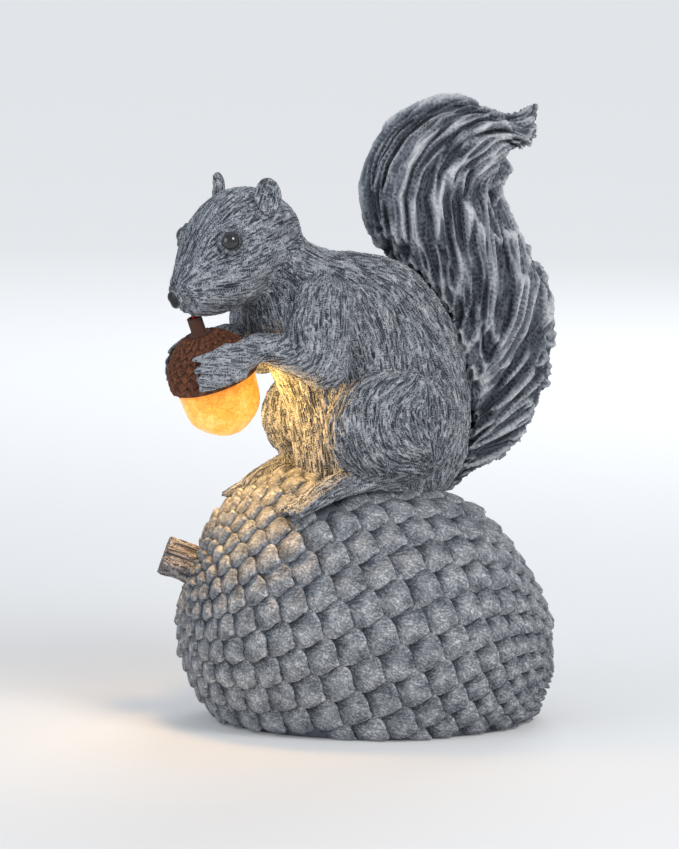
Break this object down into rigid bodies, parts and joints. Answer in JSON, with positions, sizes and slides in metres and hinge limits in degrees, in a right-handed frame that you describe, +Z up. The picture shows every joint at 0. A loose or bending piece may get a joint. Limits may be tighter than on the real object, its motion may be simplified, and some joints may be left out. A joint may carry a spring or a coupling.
{
  "type": "squirrel figurine",
  "caption": "Stone-look squirrel sitting on a big scaled acorn lying on its side, holding a small glowing acorn, with a swept S-shaped tail.",
  "frame": {"origin": "centre of the footprint of the whole part, on the surface that it stands on", "axes": "+Z up, +X to the right of the picture (the squirrel looks toward -X), +Y away from the camera"},
  "size_m": [0.1607, 0.1278, 0.2503],
  "materials": {
    "figure_stone": "dry-brushed pale ridges over slate, matt",
    "base_stone": "dry-brushed pale ridges over slate, matt",
    "stem_stone": "weathered grey, matt",
    "cap_brown": "painted brown, satin",
    "nut_amber": "crackled translucent amber, lit from within",
    "eye_black": "glossy",
    "led_resin": "clear warm lamp resin",
    "holder_plastic": "matt",
    "wire_red": "insulated wire",
    "panel_blue": "dark cells under a clear face",
    "seal_rubber": "matt",
    "plate_plastic": "fine grain",
    "screw_steel": "plain",
    "battery_sleeve": "printed sleeve, plain",
    "contact_steel": "nickel plated",
    "board_green": "solder mask",
    "chip_black": "moulded"
  },
  "bodies": {
    "figurine": {"acorn_cap": "cap_brown", "acorn_cap_scales": "cap_brown", "acorn_nut": "nut_amber", "arm_left": "figure_stone", "arm_right": "figure_stone", "base_plate": "plate_plastic", "base_scales": "base_stone", "base_shell": "base_stone", "base_stem": "stem_stone", "battery": "battery_sleeve", "battery_contacts": "contact_steel", "battery_spring": "contact_steel", "battery_wires": "wire_red", "board_components": "chip_black", "board_screws": "screw_steel", "circuit_board": "board_green", "ear_left": "figure_stone", "ear_right": "figure_stone", "eye_left": "eye_black", "eye_right": "eye_black", "head": "figure_stone", "lamp_wire": "wire_red", "led": "led_resin", "led_holder": "holder_plastic", "leg_left": "figure_stone", "leg_right": "figure_stone", "panel_seal": "seal_rubber", "panel_wire": "wire_red", "plate_screws": "screw_steel", "solar_panel": "panel_blue", "switch_body": "contact_steel", "tail": "figure_stone", "torso": "figure_stone"},
    "battery_door": {"battery_door": "plate_plastic", "door_screw": "screw_steel"},
    "switch_slider": {"switch_slider": "holder_plastic"}
  },
  "joints": [
    {"name": "battery_door_hinge", "type": "hinge", "parent": "figurine", "child": "battery_door", "pos_m": [-0.02105, -0.014, 0.004], "axis": [0, 1, 0], "range_deg": [0, 75]},
    {"name": "switch_slide", "type": "slide", "parent": "figurine", "child": "switch_slider", "axis": [1, 0, 0], "range_m": [0, 0.002]}
  ]
}
